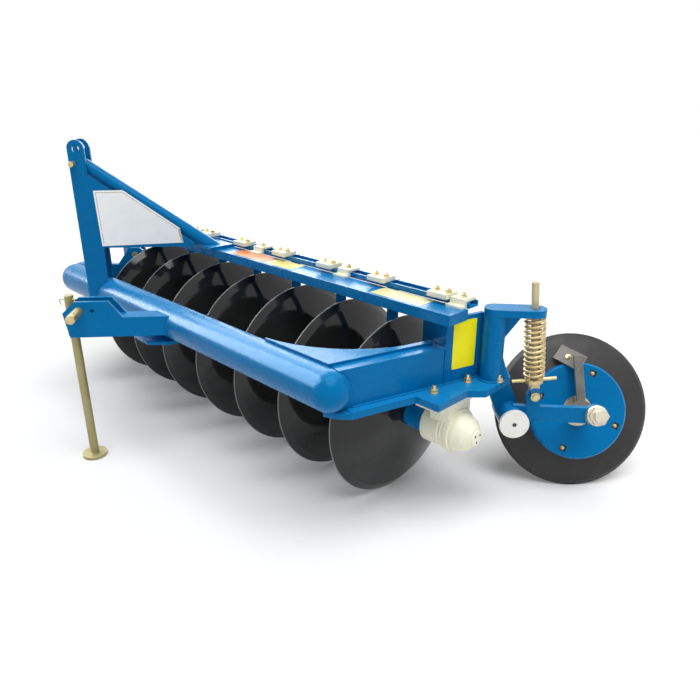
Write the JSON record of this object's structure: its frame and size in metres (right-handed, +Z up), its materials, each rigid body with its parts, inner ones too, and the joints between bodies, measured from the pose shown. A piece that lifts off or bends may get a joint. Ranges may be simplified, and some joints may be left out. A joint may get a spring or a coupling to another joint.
{
  "type": "disc ridge plow",
  "caption": "Mounted disc plow for raising field ridges: a slanted gang of dished discs under a tube frame with hitch mast, lower link pins, scrapers, parking leg and sprung tail wheel.",
  "frame": {"origin": "on the floor under the middle of the whole box", "axes": "+X to the rear, against the direction of travel, +Y to the right of travel, +Z up"},
  "size_m": [2.0479, 1.6449, 1.0179],
  "materials": {
    "blue_paint": "gloss",
    "cream_cast": "satin",
    "gold_zinc": "satin",
    "bare_steel": "satin",
    "white_cap": "satin",
    "disc_steel": "gloss",
    "wheel_black": "satin"
  },
  "bodies": {
    "frame": {"front_tube": "blue_paint", "left_arm": "blue_paint", "right_arm": "blue_paint", "left_gusset": "blue_paint", "left_base_plate": "blue_paint", "right_base_plate": "blue_paint", "left_post": "blue_paint", "right_post": "blue_paint", "rear_beam": "blue_paint", "left_bearing": "cream_cast", "right_bearing": "cream_cast", "mast": "blue_paint", "mast_brace": "blue_paint", "brace_foot": "blue_paint", "stop_bolt": "gold_zinc", "left_link_bracket": "blue_paint", "right_link_bracket": "blue_paint", "left_link_pin": "gold_zinc", "right_link_pin": "gold_zinc", "leg_sleeve": "blue_paint", "scraper_bar": "blue_paint", "bar_brackets": "cream_cast", "scraper_clamps": "cream_cast", "tail_post": "blue_paint", "spring_arm": "blue_paint", "spring_rod": "gold_zinc", "spring_seat": "gold_zinc", "spring": "gold_zinc", "pivot_hanger": "blue_paint", "trailing_arm": "blue_paint", "pivot_cap": "white_cap", "tail_axle": "bare_steel", "wheel_scraper": "bare_steel", "scraper_1": "blue_paint", "scraper_2": "blue_paint", "scraper_3": "blue_paint", "scraper_4": "blue_paint", "scraper_5": "blue_paint", "scraper_6": "blue_paint", "scraper_7": "blue_paint"},
    "gang": {"gang_shaft": "bare_steel", "spools": "blue_paint", "disc_1": "disc_steel", "disc_2": "disc_steel", "disc_3": "disc_steel", "disc_4": "disc_steel", "disc_5": "disc_steel", "disc_6": "disc_steel", "disc_7": "disc_steel"},
    "tail_wheel": {"wheel_blade": "wheel_black", "wheel_plate": "blue_paint", "wheel_hub": "bare_steel"},
    "leg": {"parking_leg": "gold_zinc"}
  },
  "joints": [
    {"name": "gang_spin", "type": "hinge", "parent": "frame", "child": "gang", "pos_m": [-0.2173, 0.03342, 0.28], "axis": [0.6428, -0.766, 0], "continuous": true},
    {"name": "tail_wheel_spin", "type": "hinge", "parent": "frame", "child": "tail_wheel", "pos_m": [0.78253, -0.4585, 0.22686], "axis": [-0.0808, -0.9237, 0.3746], "continuous": true},
    {"name": "leg_slide", "type": "slide", "parent": "frame", "child": "leg", "axis": [0, 0, 1], "range_m": [0, 0.3]}
  ]
}
